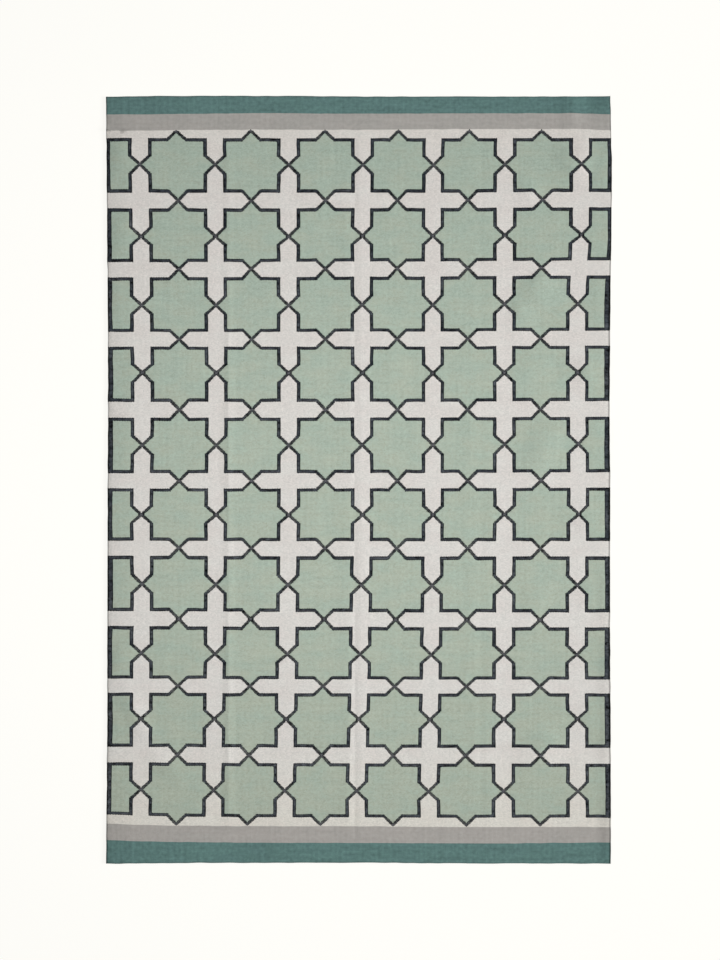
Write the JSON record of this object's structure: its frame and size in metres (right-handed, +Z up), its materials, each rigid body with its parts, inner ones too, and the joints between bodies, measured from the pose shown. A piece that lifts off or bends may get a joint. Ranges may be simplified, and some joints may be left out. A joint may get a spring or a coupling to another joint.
{
  "type": "dhurrie rug",
  "caption": "Flat-woven cotton floor rug, laid flat, reversible, with a star-and-cross ground, two plain bands at each end, soft fold lines and low swellings.",
  "frame": {"origin": "on the floor, under the middle of the rug's outline", "axes": "+X across the width, +Y along the length towards the far hem (the top of the picture), +Z up out of the upper face"},
  "size_m": [1.2074, 1.833, 0.0071],
  "materials": {
    "cotton_cloth": "matt weft-faced cotton flat weave: cream ground, sage stars with dark blue outlines, grey and teal end bands"
  },
  "bodies": {
    "root": {"rug_cloth": "cotton_cloth"}
  },
  "joints": []
}
